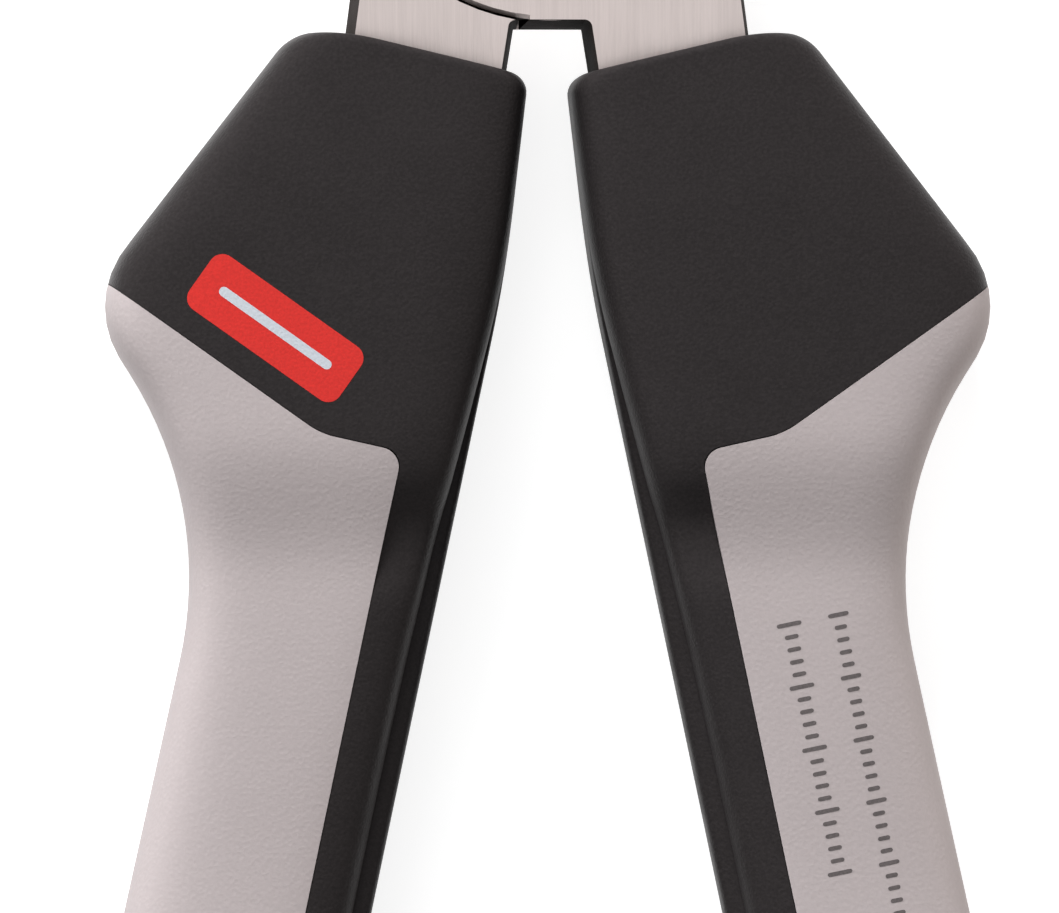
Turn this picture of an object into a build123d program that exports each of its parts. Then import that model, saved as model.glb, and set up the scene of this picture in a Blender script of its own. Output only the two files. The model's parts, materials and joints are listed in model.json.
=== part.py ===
from build123d import *
import math
import os

# Side cutter for hard wire with a lap joint and two-colour moulded grips, closed and lying on its back.
# All sizes are in millimetres. Every piece is drawn about the pivot, with X across the handles,
# Y towards the nose, Z out of the front face, and Z = 0 in the parting plane of the lap joint.
# The right handle belongs to the front lever, and the left handle to the rear lever.

# Reach of the tool, from the pivot
nose_reach = 34.0
handle_reach = 146.0

# Head and lap joint
head_thickness = 10.6
joint_radius = 14.7
lap_gap = 0.06
shoulder_gap = 0.16
shoulder_half_width = 15.0
shoulder_level = 3.9
forging_draft = 6.0
disc_chamfer = 0.3

# Jaws
nose_half_width = 4.4
nose_thickness = 7.0
nose_corner = 1.8
jaw_bulge = 2.8
jaw_taper_start = 19.0
edge_gap = 0.04
front_bevel = 38.0
back_bevel = 26.0
throat_relief = 1.1

# Pivot rivet
rivet_radius = 4.0
rivet_head_radius = 5.6
rivet_head_depth = 1.6
rivet_running_gap = 0.04
rivet_fit = 0.01

# Tangs, at the head and inside the grips
crotch_half_width = 2.43
crotch_depth = 15.2
crotch_gap = 0.4
waist_half_width = 13.75
waist_level = 10.5
waist_blend = 12.0
tang_root_level = 20.0
tang_middle_level = 54.0
tang_root_inner_x = 3.2
tang_root_width = 11.8
tang_middle_width = 8.4
tang_end_width = 5.4
tang_end_margin = 24.0
tang_middle_thickness = 6.8
tang_end_thickness = 5.0
tang_middle_wall = 3.6
tang_end_wall = 6.0
tang_bend_radius = 60.0
tang_root_bend = 6.0
tang_end_radius = 2.0
tang_fit = 0.05

# Grip seen from the front, as distances from the centre line and below the pivot
cap_top_level = 15.6
cap_outer_x = 18.4
cap_slope_start_x = 14.4
cap_inner_x = 1.4
cap_inner_level = 18.7
cap_corner = 1.2
cap_edge_radius = 20.0
cap_rim_radius = 0.6
guard_x = 33.11
guard_level = 34.64
guard_radius = 6.9
waist_x = 23.8
waist_corner_level = 49.2
waist_radius = 27.0
palm_x = 35.7
palm_margin = 43.0
palm_radius = 120.0
end_outer_x = 28.6
inner_bend_x = 3.04
inner_bend_level = 32.9
inner_bend_radius = 100.0
inner_palm_x = 17.7
inner_palm_radius = 120.0
end_inner_x = 13.6
end_round = 6.5
end_inset = 5.2

# Grip seen from the side
cap_depth = 15.2
guard_depth = 16.6
waist_depth = 13.4
palm_depth = 16.6
end_depth = 15.0
crest_start = 29.0
crest_end = 44.0
waist_start = 54.5
waist_end = 72.0
cap_fullness = 1.0
palm_fullness = 0.84

# Spacing of the grip's cross-sections
skin_rise = 4.0
line_overrun = 1.0
cap_pitch = 4.5
guard_pitch = 2.5
palm_pitch = 8.5
end_steps = 5

# Rib along the inner side, and split between the black core and the grey jacket
rib_height = 1.2
rib_depth = 5.6
rib_rounding = 0.8
rib_start = 27.0
rib_full = 62.0
rib_lead = 5.0
rib_end_margin = 28.0
strip_width = 4.9
soft_wall = 2.1
split_outer_x = 31.5
split_outer_level = 33.3
split_slope = 35.3
split_knee_x = 16.4
split_knee_radius = 5.0
split_corner_drop = 1.3
split_corner_radius = 1.4
end_cap_length = 11.0
end_cap_slope = 16.0

# Derived sizes
overall_length = nose_reach + handle_reach
pivot_y = overall_length / 2 - nose_reach
rest_height = max(guard_depth, palm_depth) / 2
half_head = head_thickness / 2
palm_level = handle_reach - palm_margin
tang_end_level = handle_reach - tang_end_margin
beyond = 40.0
seam_size = 0.05
cut_overrun = 1.0
skin_top_level = cap_top_level - skin_rise
line_top_level = skin_top_level - line_overrun
line_end_level = handle_reach + line_overrun


def blend(value: float, low: float, high: float) -> float:
    """A smooth step from 0 at low to 1 at high."""
    share = min(1.0, max(0.0, (value - low) / (high - low)))
    return (1 - math.cos(math.pi * share)) / 2


def slab(plan: Face, low: float, high: float) -> Part:
    """The plan raised from one level to another."""
    return Pos(0, 0, low) * extrude(plan, high - low)


def drafted(plan: Face, half_height: float) -> Part:
    """The plan raised both ways from the parting plane, with forging draft."""
    upper = extrude(plan, half_height, taper=forging_draft)
    return upper + mirror(upper, Plane.XY)


def disc(radius: float, low: float, high: float) -> Part:
    """A disc about the pivot between two levels."""
    return slab(Circle(radius).face(), low, high)


# Levers

def jaw_plan() -> Face:
    """The left jaw from its shoulder to the nose, reaching past the centre line."""
    shoulder = Vector(-shoulder_half_width, shoulder_level)
    tip = Vector(-nose_half_width, nose_reach - nose_corner)
    corner = Vector(-nose_half_width + nose_corner, nose_reach)
    side = SagittaArc(shoulder, tip, jaw_bulge)
    nose = RadiusArc(tip, corner, nose_corner)
    inner = Polyline(corner, (nose_half_width, nose_reach), (nose_half_width, shoulder_level), shoulder)
    return make_face(side + nose + inner)


def tang_plan() -> Face:
    """The right tang from its shoulder to its end in the grip, with its half of the crotch."""
    middle_x = side_at(inner_line(), tang_middle_level) + tang_middle_wall
    end_x = side_at(inner_line(), tang_end_level) + tang_end_wall
    crotch_x = crotch_gap - crotch_half_width
    corners = {
        (shoulder_half_width, -shoulder_level): 0,
        (waist_half_width, -waist_level): waist_blend,
        (tang_root_inner_x + tang_root_width, -tang_root_level): tang_bend_radius,
        (middle_x + tang_middle_width, -tang_middle_level): tang_bend_radius,
        (end_x + tang_end_width, -tang_end_level): tang_end_radius,
        (end_x, -tang_end_level): tang_end_radius,
        (middle_x, -tang_middle_level): tang_bend_radius,
        (tang_root_inner_x, -tang_root_level): tang_root_bend,
        (crotch_half_width, -crotch_depth): 0,
        (crotch_x, -crotch_depth): 0,
        (crotch_x, -shoulder_level): 0,
    }
    return make_face(FilletPolyline(*corners, radius=list(corners.values()), close=True))


def side_profile(extra: float) -> Part:
    """The lever seen from the side: thin at the nose, full at the joint and thinner down the tang."""
    upper = [
        (nose_reach + extra, nose_thickness / 2 + extra),
        (jaw_taper_start, half_head + extra),
        (-crotch_depth, half_head + extra),
        (-tang_middle_level, tang_middle_thickness / 2 + extra),
        (-tang_end_level - extra, tang_end_thickness / 2 + extra),
    ]
    lower = [(y, -z) for y, z in reversed(upper)]
    outline = Plane.YZ * Polyline(*upper, *lower, close=True)
    return extrude(make_face(outline), beyond, both=True)


def tang(extra: float) -> Part:
    """The tang, or with extra the space that it takes in the grip."""
    plan = tang_plan()
    if extra:
        plan = offset(plan, extra).face()
    return drafted(plan, half_head + extra) & side_profile(extra)


def lever_blank() -> Part:
    """The front lever before its edges are ground: left jaw, front half of the joint and right tang."""
    below = -half_head - cut_overrun
    blank = drafted(jaw_plan(), half_head) + drafted(tang_plan(), half_head)
    seat = disc(joint_radius + shoulder_gap, below, lap_gap / 2)
    crotch_room = Rectangle(2 * crotch_half_width - crotch_gap, 2 * crotch_depth, align=Align.MAX)
    crotch_room = Pos(crotch_half_width - crotch_gap / 2, 0) * crotch_room
    seat += slab(crotch_room.face(), below, lap_gap / 2)
    half_disc = disc(joint_radius, lap_gap / 2, half_head)
    half_disc = chamfer(half_disc.edges().sort_by(Axis.Z)[-1], disc_chamfer)
    return (blank - seat + half_disc) & side_profile(0)


def jaw_grinding() -> Part:
    """What is ground off the left jaw: both bevels and the relief behind the cutting edge."""
    deep = half_head + cut_overrun
    edge_x = -edge_gap / 2
    bevels = Plane.XZ * Polyline(
        (edge_x, 0),
        (edge_x - deep * math.tan(math.radians(front_bevel)), deep),
        (beyond, deep),
        (beyond, -deep),
        (edge_x - deep * math.tan(math.radians(back_bevel)), -deep),
        close=True,
    )
    cut = extrude(make_face(bevels), nose_reach + cut_overrun, dir=(0, 1, 0))
    cut += Pos(0, joint_radius + throat_relief) * disc(throat_relief, -deep, deep)
    return cut - disc(joint_radius, -deep, deep)


def rivet_shape(gap: float) -> Part:
    """The rivet with a countersunk head in each face, or with a gap the hole that it needs."""
    shank = rivet_radius + gap
    head = rivet_head_radius + gap
    sunk = half_head - rivet_head_depth
    profile = Plane.XZ * Polyline(
        (0, -half_head), (head, -half_head), (shank, -sunk), (shank, sunk), (head, half_head),
        (0, half_head), close=True,
    )
    return revolve(make_face(profile), Axis.Z)


def front_lever() -> Part:
    """The lever with the left jaw and the right tang, which holds the rivet."""
    return lever_blank() - jaw_grinding() - rivet_shape(rivet_fit)


def rear_lever() -> Part:
    """The lever with the right jaw and the left tang, which turns on the rivet."""
    return Rot(0, 180, 0) * lever_blank() - mirror(jaw_grinding(), Plane.YZ) - rivet_shape(rivet_running_gap)


# Grip outline

def outer_line() -> Wire:
    """Outer side of the right grip, from above the cap down to the end."""
    slope = (guard_x - cap_outer_x) / (guard_level - cap_top_level)
    return FilletPolyline(
        (cap_outer_x - slope * (cap_top_level - line_top_level), -line_top_level),
        (guard_x, -guard_level),
        (waist_x, -waist_corner_level),
        (palm_x, -palm_level),
        (end_outer_x, -line_end_level),
        radius=[guard_radius, waist_radius, palm_radius],
    )


def inner_line() -> Wire:
    """Inner side of the right grip, from above the cap down to the end."""
    slope = (inner_bend_x - cap_inner_x) / (inner_bend_level - cap_inner_level)
    return FilletPolyline(
        (cap_inner_x - slope * (cap_inner_level - line_top_level), -line_top_level),
        (inner_bend_x, -inner_bend_level),
        (inner_palm_x, -palm_level),
        (end_inner_x, -line_end_level),
        radius=[inner_bend_radius, inner_palm_radius],
    )


def side_at(line: Wire, level: float) -> float:
    """Distance of a grip side from the centre line, at a level below the pivot."""
    crossing = line.intersect(Line((-beyond, -level), (2 * beyond, -level)))
    return crossing[0].X


def rib_at(level: float) -> float:
    """How far the rib stands out at a level below the pivot."""
    fade = blend(level, handle_reach - rib_end_margin, handle_reach - rib_end_margin / 2)
    return rib_height * blend(level, rib_start, rib_full) * (1 - fade)


def half_depth_at(level: float) -> float:
    """Half the grip's depth at a level below the pivot."""
    depth = cap_depth
    depth += (guard_depth - cap_depth) * blend(level, skin_top_level, crest_start)
    depth += (waist_depth - guard_depth) * blend(level, crest_end, waist_start)
    depth += (palm_depth - waist_depth) * blend(level, waist_end, palm_level)
    depth += (end_depth - palm_depth) * blend(level, palm_level, handle_reach)
    return depth / 2


def ring(level: float, inset: float) -> Face:
    """One cross-section of the right grip: four quarter curves, fuller at the cap than at the palm."""
    low_x = side_at(inner_line(), level) + rib_at(level) + inset
    high_x = side_at(outer_line(), level) - inset
    wide = (high_x - low_x) / 2
    deep = half_depth_at(level) - inset
    full = cap_fullness + (palm_fullness - cap_fullness) * blend(level, crest_end, waist_end)
    centre = Vector((low_x + high_x) / 2, -level)
    quarters = []
    for side, face in ((1, 1), (-1, 1), (-1, -1), (1, -1)):
        x = side * wide
        z = face * deep
        corners = [(x, 0, 0), (x, 0, full * z), (full * x, 0, z), (0, 0, z)]
        points = [centre + Vector(corner) for corner in corners]
        quarters.append(Bezier(*points) if side == face else Bezier(*reversed(points)))
    return Face(Wire(quarters))


def spaced(start: float, end: float, pitch: float) -> list[float]:
    """Evenly spaced levels about a pitch apart, from the start to one step before the end."""
    count = math.ceil((end - start) / pitch)
    return [start + (end - start) * step / count for step in range(count)]


def grip_levels() -> list[float]:
    """Levels of the cross-sections above the domed end, closest together round the guard."""
    levels = spaced(skin_top_level, crest_start, cap_pitch)
    levels += spaced(crest_start, waist_start, guard_pitch)
    return levels + spaced(waist_start, handle_reach - end_round, palm_pitch)


def grip_skin() -> Part:
    """The right grip's outer shape, reaching above the cap, with a domed end."""
    sections = [ring(level, 0) for level in grip_levels()]
    for step in range(end_steps + 1):
        turn = math.pi / 2 * step / end_steps
        level = handle_reach - end_round * (1 - math.sin(turn))
        sections.append(ring(level, end_inset * (1 - math.cos(turn))))
    return loft(sections)


def cap_slope() -> float:
    """Slope of the cap's top edge towards the centre line."""
    return (cap_inner_level - cap_top_level) / (cap_slope_start_x - cap_inner_x)


def cap_cutter() -> Part:
    """What is cut away above the cap: a sloping top edge that levels out, with both corners taken off."""
    inner_x = cap_inner_x + cap_corner
    edge = FilletPolyline(
        (inner_x - beyond, -cap_inner_level - 2 * beyond),
        (inner_x, -cap_inner_level + cap_corner * cap_slope()),
        (cap_slope_start_x, -cap_top_level),
        (cap_outer_x - cap_corner / 2, -cap_top_level),
        (cap_outer_x + beyond, -cap_top_level - beyond / 2),
        radius=[cap_corner / 2, cap_edge_radius, cap_corner / 2],
    )
    above = Polyline(edge @ 1, (3 * beyond, beyond), (-3 * beyond, beyond), edge @ 0)
    return slab(make_face(edge + above), -beyond, beyond)


def grip_body() -> Part:
    """The whole right grip without its rib, cut off at the cap's top with a rounded rim."""
    body = grip_skin() - cap_cutter()
    lowest = -cap_inner_level - 3 * cap_corner
    rim = body.edges().filter_by(
        lambda edge: edge.bounding_box().size.X > seam_size and edge.bounding_box().min.Y > lowest
    )
    return fillet(rim, cap_rim_radius)


def is_rib_edge(edge: Edge) -> bool:
    """Whether an edge of the rib runs along its crest, at the front or at the back."""
    middle = edge @ 0.5
    return abs(middle.Z) > rib_depth / 4 and abs(middle.X - side_at(inner_line(), -middle.Y)) < seam_size


def rib() -> Part:
    """The rib along the grip's inner side, with rounded edges and with both ends sunk in the skin."""
    outer = inner_line()
    inner = Pos(3 * rib_height, 0) * outer
    ends = Line(outer @ 0, inner @ 0) + Line(outer @ 1, inner @ 1)
    band = slab(make_face(outer + inner + ends), -rib_depth / 2, rib_depth / 2)
    band = fillet(band.edges().filter_by(is_rib_edge), rib_rounding)
    low = -handle_reach + rib_end_margin / 2 + rib_lead
    high = -rib_start - rib_lead
    stretch = Pos(0, (low + high) / 2) * Box(4 * beyond, high - low, 2 * beyond)
    return band & stretch


def jacket_plan() -> Face:
    """The stretch that the grey jacket covers: below the guard, outside the strip, above the end cap."""
    slope = math.tan(math.radians(split_slope))
    knee_level = split_outer_level + (split_outer_x - split_knee_x) * slope
    corner_level = knee_level + split_corner_drop
    end_level = handle_reach - end_cap_length
    end_x = side_at(inner_line(), end_level) + strip_width
    side_x = split_outer_x + beyond
    end_rise = (side_x - end_x) * math.tan(math.radians(end_cap_slope))
    corners = {
        (side_x, -split_outer_level + beyond * slope): 0,
        (split_knee_x, -knee_level): split_knee_radius,
        (side_at(inner_line(), corner_level) + strip_width, -corner_level): split_corner_radius,
        (inner_palm_x + strip_width, -palm_level): inner_palm_radius,
        (end_x, -end_level): split_knee_radius,
        (side_x, -end_level + end_rise): 0,
    }
    return make_face(FilletPolyline(*corners, radius=list(corners.values()), close=True))


def inner_core() -> Part:
    """The hard core under the jacket, one wall thickness inside the skin."""
    inside = [level for level in grip_levels() if level > crest_start - seam_size]
    return loft([ring(level, soft_wall) for level in [*inside, handle_reach - end_round]])


def right_grip() -> tuple[Part, Part]:
    """Core and jacket of the right grip."""
    body = grip_body()
    covered = slab(jacket_plan(), -beyond, beyond)
    hard = inner_core()
    jacket = (body & covered) - hard
    core = (body - covered) + hard + rib() - tang(tang_fit)
    return core, jacket


core, jacket = right_grip()
pieces = {
    "front_lever": front_lever(),
    "rear_lever": rear_lever(),
    "pivot_rivet": rivet_shape(0),
    "right_grip_core": core,
    "right_grip_soft": jacket,
    "left_grip_core": mirror(core, Plane.YZ),
    "left_grip_soft": mirror(jacket, Plane.YZ),
}

os.makedirs("parts", exist_ok=True)
for name, piece in pieces.items():
    export_step(Pos(0, pivot_y, rest_height) * piece, f"parts/{name}.step")
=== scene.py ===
"""Looks of the side cutter: ground steel levers, a flush rivet and two-colour moulded grips.

Sizes are in millimetres from the pivot, as in the part's source: x across the handles, level down from the
pivot towards the handle ends, and z out of the front face from the parting plane of the lap joint. place
turns them into metres in the row frame.
"""

import json
import logging
import math
from collections.abc import Callable
from dataclasses import dataclass, field, replace
from enum import Enum

import bmesh
import bpy
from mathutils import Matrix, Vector


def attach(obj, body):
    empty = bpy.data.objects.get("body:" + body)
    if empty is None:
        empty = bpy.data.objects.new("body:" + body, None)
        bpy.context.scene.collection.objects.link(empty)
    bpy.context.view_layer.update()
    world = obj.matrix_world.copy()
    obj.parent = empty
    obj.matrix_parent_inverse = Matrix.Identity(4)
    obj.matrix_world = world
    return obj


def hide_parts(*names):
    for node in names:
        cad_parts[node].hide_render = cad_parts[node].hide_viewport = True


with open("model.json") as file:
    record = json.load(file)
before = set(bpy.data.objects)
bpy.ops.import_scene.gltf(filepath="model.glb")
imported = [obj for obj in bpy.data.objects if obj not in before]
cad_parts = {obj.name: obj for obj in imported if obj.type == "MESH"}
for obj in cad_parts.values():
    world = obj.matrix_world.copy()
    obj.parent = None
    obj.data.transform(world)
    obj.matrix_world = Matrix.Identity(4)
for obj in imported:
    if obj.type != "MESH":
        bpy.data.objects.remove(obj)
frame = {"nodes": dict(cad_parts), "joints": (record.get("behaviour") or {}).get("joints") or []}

MM = 0.001
PIVOT = Vector(frame["joints"][0]["pos_m"])
HALVINGS = 26
SETTLING_ROUNDS = 4
NEARLY_ONE = 0.9999
FOLDED_SEAM = 0.00001
LOOSE_SEAM = 0.0005
PALM_LEVEL = 103.0
PALM_RADIUS = 120.0
log = logging.getLogger("side_cutter")

Colour = tuple[float, float, float]


class Side(Enum):
    """The two handles, with the sign of x on which each lies."""

    RIGHT = 1
    LEFT = -1


class Body(Enum):
    """The moving bodies of the frame."""

    FRONT = "front_half"
    REAR = "rear_half"


class Flank(Enum):
    """The two sides of the right grip, with the sign of x on which each lies from its middle."""

    OUTER = 1
    INNER = -1


class Way(Enum):
    """The two ways over a cross-section, with their places in a point of its quarter curve."""

    ACROSS = 0
    UP = 1


class Cut(Enum):
    """The two ways to cut a solid by another, with the Boolean's word for each."""

    AWAY = "DIFFERENCE"
    WITHIN = "INTERSECT"


def place(x: float, level: float, z: float) -> Vector:
    """Turns a point in millimetres from the pivot into the row frame.

    Args:
        x: Distance to the right of the centre line.
        level: Distance below the pivot, towards the handle ends.
        z: Height above the parting plane.

    Returns:
        The point in metres.
    """
    return PIVOT + Vector((x, -level, z)) * MM


def smooth_step(value: float, low: float, high: float) -> float:
    """A smooth step from 0 at low to 1 at high."""
    share = min(1.0, max(0.0, (value - low) / (high - low)))
    return (1 - math.cos(math.pi * share)) / 2


def rounding(distance: float, radius: float) -> float:
    """How far a rounded edge stands back.

    Args:
        distance: How far the place is from the end of the edge.
        radius: Radius of the rounding.

    Returns:
        How far it stands back, which is 0 past the rounding.
    """
    if distance >= radius:
        return 0.0
    return radius - math.sqrt(radius**2 - (radius - distance) ** 2)


# Outlines


@dataclass(frozen=True)
class Corner:
    """One corner of an outline, with its fillet radius."""

    x: float
    level: float
    radius: float = 0.0

    def point(self) -> Vector:
        """The corner as a vector in the plan."""
        return Vector((self.x, self.level))

    def reach(self, before: "Corner", after: "Corner") -> float:
        """Distance from the corner to where its fillet starts, given the corners before and after it."""
        turn = (self.point() - before.point()).angle(after.point() - self.point())
        return self.radius * math.tan(turn / 2)


@dataclass(frozen=True)
class Arc:
    """One fillet of a side line, between two levels."""

    start: float
    end: float
    centre: Vector
    radius: float
    side: float

    def x_at(self, level: float) -> float:
        """The arc's x at a level."""
        return self.centre.x + self.side * math.sqrt(self.radius**2 - (level - self.centre.y) ** 2)


class SideLine:
    """One side of a grip seen from the front: straight stretches joined by fillets, down the handle."""

    def __init__(self, *corners: Corner) -> None:
        """Works out the fillets.

        Args:
            *corners: The corners from the top of the handle to its end.
        """
        self.corners = corners
        self.arcs: list[Arc] = []
        for before, corner, after in zip(corners, corners[1:], corners[2:]):
            reach = corner.reach(before, after)
            down = (corner.point() - before.point()).normalized()
            onward = (after.point() - corner.point()).normalized()
            start = corner.point() - down * reach
            end = corner.point() + onward * reach
            inward = (onward - down).normalized()
            centre = corner.point() + inward * math.hypot(corner.radius, reach)
            side = math.copysign(1, start.x - centre.x)
            self.arcs.append(Arc(start.y, end.y, centre, corner.radius, side))

    def x_at(self, level: float) -> float:
        """Distance of this side from the centre line.

        Args:
            level: How far below the pivot.

        Returns:
            The x of the side there.
        """
        for arc in self.arcs:
            if arc.start <= level <= arc.end:
                return arc.x_at(level)
        pairs = list(zip(self.corners, self.corners[1:]))
        upper, lower = next((pair for pair in pairs if level <= pair[1].level), pairs[-1])
        share = (level - upper.level) / (lower.level - upper.level)
        return upper.x + (lower.x - upper.x) * share


# Mesh tools


class Mesh:
    """A bmesh that becomes one finished piece of the side cutter."""

    def __init__(self) -> None:
        """Starts an empty mesh."""
        self.bm = bmesh.new()

    def add_grid(self, across: int, along: int, where: Callable[[int, int], Vector]) -> None:
        """Adds a grid and lays each of its corners in place.

        Args:
            across: Facets across the grid.
            along: Facets along the grid.
            where: Gives the place of a corner from its numbers across and along.
        """
        made = bmesh.ops.create_grid(self.bm, x_segments=across, y_segments=along, size=1)
        for vert in made["verts"]:
            column = round((vert.co.x + 1) / 2 * across)
            row = round((vert.co.y + 1) / 2 * along)
            vert.co = where(column, row)

    def add_loft(self, rings: list[list[Vector]]) -> None:
        """Skins closed rings into a solid. The first and last rings are folded flat, so they close it.

        Args:
            rings: The cross-sections in order, all with as many points.
        """
        count = len(rings[0])
        self.add_grid(count, len(rings) - 1, lambda column, row: rings[row][column % count])
        self.join_up(FOLDED_SEAM)
        bmesh.ops.recalc_face_normals(self.bm, faces=self.bm.faces)

    def add_prism(self, corners: list[Corner], low: float, high: float, segments: int = 12) -> None:
        """Adds an upright prism over a plan with rounded corners.

        Args:
            corners: The plan's corners in order.
            low: Height of the lower end.
            high: Height of the upper end.
            segments: Facets of each fillet.
        """
        verts = [self.bm.verts.new(place(corner.x, corner.level, low)) for corner in corners]
        self.bm.faces.new(verts)
        count = len(corners)
        for index, corner in enumerate(corners):
            if corner.radius:
                reach = corner.reach(corners[index - 1], corners[(index + 1) % count])
                bmesh.ops.bevel(
                    self.bm, geom=[verts[index]], offset=reach * MM, offset_type="OFFSET",
                    segments=segments, profile=0.5, affect="VERTICES", material=-1,
                )
        raised = bmesh.ops.extrude_face_region(self.bm, geom=list(self.bm.faces))
        upper = [item for item in raised["geom"] if isinstance(item, bmesh.types.BMVert)]
        bmesh.ops.translate(self.bm, vec=Vector((0, 0, high - low)) * MM, verts=upper)
        bmesh.ops.recalc_face_normals(self.bm, faces=self.bm.faces)

    def add_copy(self, data: bpy.types.Mesh) -> None:
        """Adds a copy of a mesh, with its loose triangles joined up."""
        self.bm.from_mesh(data)
        self.join_up(LOOSE_SEAM)

    def join_up(self, distance: float) -> None:
        """Merges corners that are nearer than a distance, and clears what is left without an area."""
        bmesh.ops.remove_doubles(self.bm, verts=self.bm.verts, dist=distance * MM)
        bmesh.ops.dissolve_degenerate(self.bm, edges=self.bm.edges, dist=distance * MM)

    def swell(self, distance: float) -> None:
        """Moves every corner along its normal.

        Args:
            distance: How far outwards, or inwards where it is below 0.
        """
        self.bm.normal_update()
        for vert in self.bm.verts:
            vert.co += vert.normal * distance * MM

    def mirror_x(self) -> None:
        """Turns a right-hand piece into its left-hand twin."""
        bmesh.ops.scale(self.bm, vec=(-1, 1, 1), verts=self.bm.verts)
        bmesh.ops.reverse_faces(self.bm, faces=self.bm.faces)

    def shade(self, crease: float = 34.0) -> None:
        """Smooths the shading, apart from edges that turn by more than the crease angle.

        Args:
            crease: The angle in degrees.
        """
        self.bm.normal_update()
        for face in self.bm.faces:
            face.smooth = True
        for edge in self.bm.edges:
            edge.smooth = edge.is_manifold and edge.calc_face_angle() < math.radians(crease)

    def finish(self, name: str) -> bpy.types.Object:
        """Makes the mesh an object of the scene.

        Args:
            name: The object's name.

        Returns:
            The object, at the origin.
        """
        data = bpy.data.meshes.new(name)
        self.bm.to_mesh(data)
        self.bm.free()
        piece = bpy.data.objects.new(name, data)
        bpy.context.scene.collection.objects.link(piece)
        return piece


def carve(piece: bpy.types.Object, tool: bpy.types.Object, cut: Cut) -> None:
    """Changes a piece's mesh by the solid of another.

    Args:
        piece: The piece to change.
        tool: The solid that cuts it, or that it is kept within.
        cut: Whether the tool is cut away, or the piece is kept within it.
    """
    modifier = piece.modifiers.new("carve", "BOOLEAN")
    modifier.object = tool
    modifier.operation = cut.value
    modifier.solver = "EXACT"
    graph = bpy.context.evaluated_depsgraph_get()
    old = piece.data
    piece.data = bpy.data.meshes.new_from_object(piece.evaluated_get(graph), depsgraph=graph)
    piece.modifiers.clear()
    bpy.data.meshes.remove(old)


def discard(*pieces: bpy.types.Object) -> None:
    """Removes helper objects and their meshes."""
    for piece in pieces:
        bpy.data.meshes.remove(piece.data)


# Shader groups


class Nodes:
    """Adds and links the nodes of one material or shader group."""

    def __init__(self, tree: bpy.types.NodeTree) -> None:
        """Takes a node tree."""
        self.tree = tree

    def add(self, kind: str, **settings: object) -> bpy.types.Node:
        """Adds a node.

        Args:
            kind: The node's type, without its ShaderNode prefix.
            **settings: Properties of the node.

        Returns:
            The node.
        """
        node = self.tree.nodes.new(f"ShaderNode{kind}")
        for name, value in settings.items():
            setattr(node, name, value)
        return node

    def feed(self, node: bpy.types.Node, **inputs: object) -> bpy.types.Node:
        """Links or sets a node's inputs, by name with _ for a space, or by number after an i.

        Args:
            node: The node.
            **inputs: For each input, an output socket to link or a value to set.

        Returns:
            The same node.
        """
        for name, value in inputs.items():
            socket = node.inputs[int(name[1:])] if name[1:].isdigit() else node.inputs[name.replace("_", " ")]
            if isinstance(value, bpy.types.NodeSocket):
                self.tree.links.new(value, socket)
            else:
                socket.default_value = value
        return node

    def math(self, operation: str, *values: object) -> bpy.types.NodeSocket:
        """One step of arithmetic on sockets or numbers, as the socket of its result."""
        node = self.add("Math", operation=operation)
        return self.feed(node, **{f"i{index}": value for index, value in enumerate(values)}).outputs[0]

    def ramp(
        self, value: object, low: float, high: float, to_low: float = 0.0, to_high: float = 1.0
    ) -> bpy.types.NodeSocket:
        """Maps a range of values smoothly onto another, clamped.

        Args:
            value: The socket to map.
            low: Start of the range.
            high: End of the range.
            to_low: What the start becomes.
            to_high: What the end becomes.

        Returns:
            The mapped value's socket.
        """
        node = self.add("MapRange", interpolation_type="SMOOTHSTEP")
        self.feed(node, Value=value, From_Min=low, From_Max=high, To_Min=to_low, To_Max=to_high)
        return node.outputs["Result"]

    def mix(self, share: object, first: object, second: object) -> bpy.types.NodeSocket:
        """Mixes two colours.

        Args:
            share: Share of the second colour.
            first: The first colour, a socket or four numbers.
            second: The second colour.

        Returns:
            The mixed colour's socket.
        """
        node = self.add("Mix", data_type="RGBA")
        self.feed(node, i0=share, i6=first, i7=second)
        return node.outputs[2]

    def bump(self, height: object, depth: float) -> bpy.types.NodeSocket:
        """Tilts the surface by a height map, as deep as depth in metres."""
        return self.feed(self.add("Bump"), Height=height, Distance=depth, Strength=1.0).outputs[0]

    def spread(self, share: object, middle: float, ends: tuple[float, float]) -> bpy.types.NodeSocket:
        """Maps a share from 0 to 1 onto a range about a middle value."""
        return self.ramp(share, 0, 1, middle + ends[0], middle + ends[1])


def grain(nodes: Nodes, entry: bpy.types.bpy_prop_collection, leave: bpy.types.Node) -> None:
    """The fine eroded grain that a mould leaves on plastic.

    Args:
        nodes: The group's node builder.
        entry: The group's inputs.
        leave: The node that takes the group's outputs.
    """
    pits_per_speck, speck_share = 0.8, 0.55
    here = nodes.add("TexCoord").outputs["Object"]
    fine = nodes.feed(nodes.add("TexNoise"), Vector=here, Scale=entry["Frequency"], Detail=3.0, Roughness=0.6)
    pit_frequency = nodes.math("MULTIPLY", entry["Frequency"], pits_per_speck)
    cells = nodes.feed(nodes.add("TexVoronoi"), Vector=here, Scale=pit_frequency)
    blotch = nodes.feed(nodes.add("TexNoise"), Vector=here, Scale=entry["Blotch Frequency"], Detail=4.0)
    pits = nodes.ramp(cells.outputs["Distance"], low=0.0, high=0.7)
    specks = nodes.math("MULTIPLY", nodes.ramp(fine.outputs[0], low=0.35, high=0.65), speck_share)
    blotches = nodes.math("MULTIPLY", blotch.outputs[0], 1 - speck_share)
    nodes.feed(leave, Height=nodes.math("MULTIPLY", fine.outputs[0], pits))
    nodes.feed(leave, Mottle=nodes.math("ADD", specks, blotches))


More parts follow.
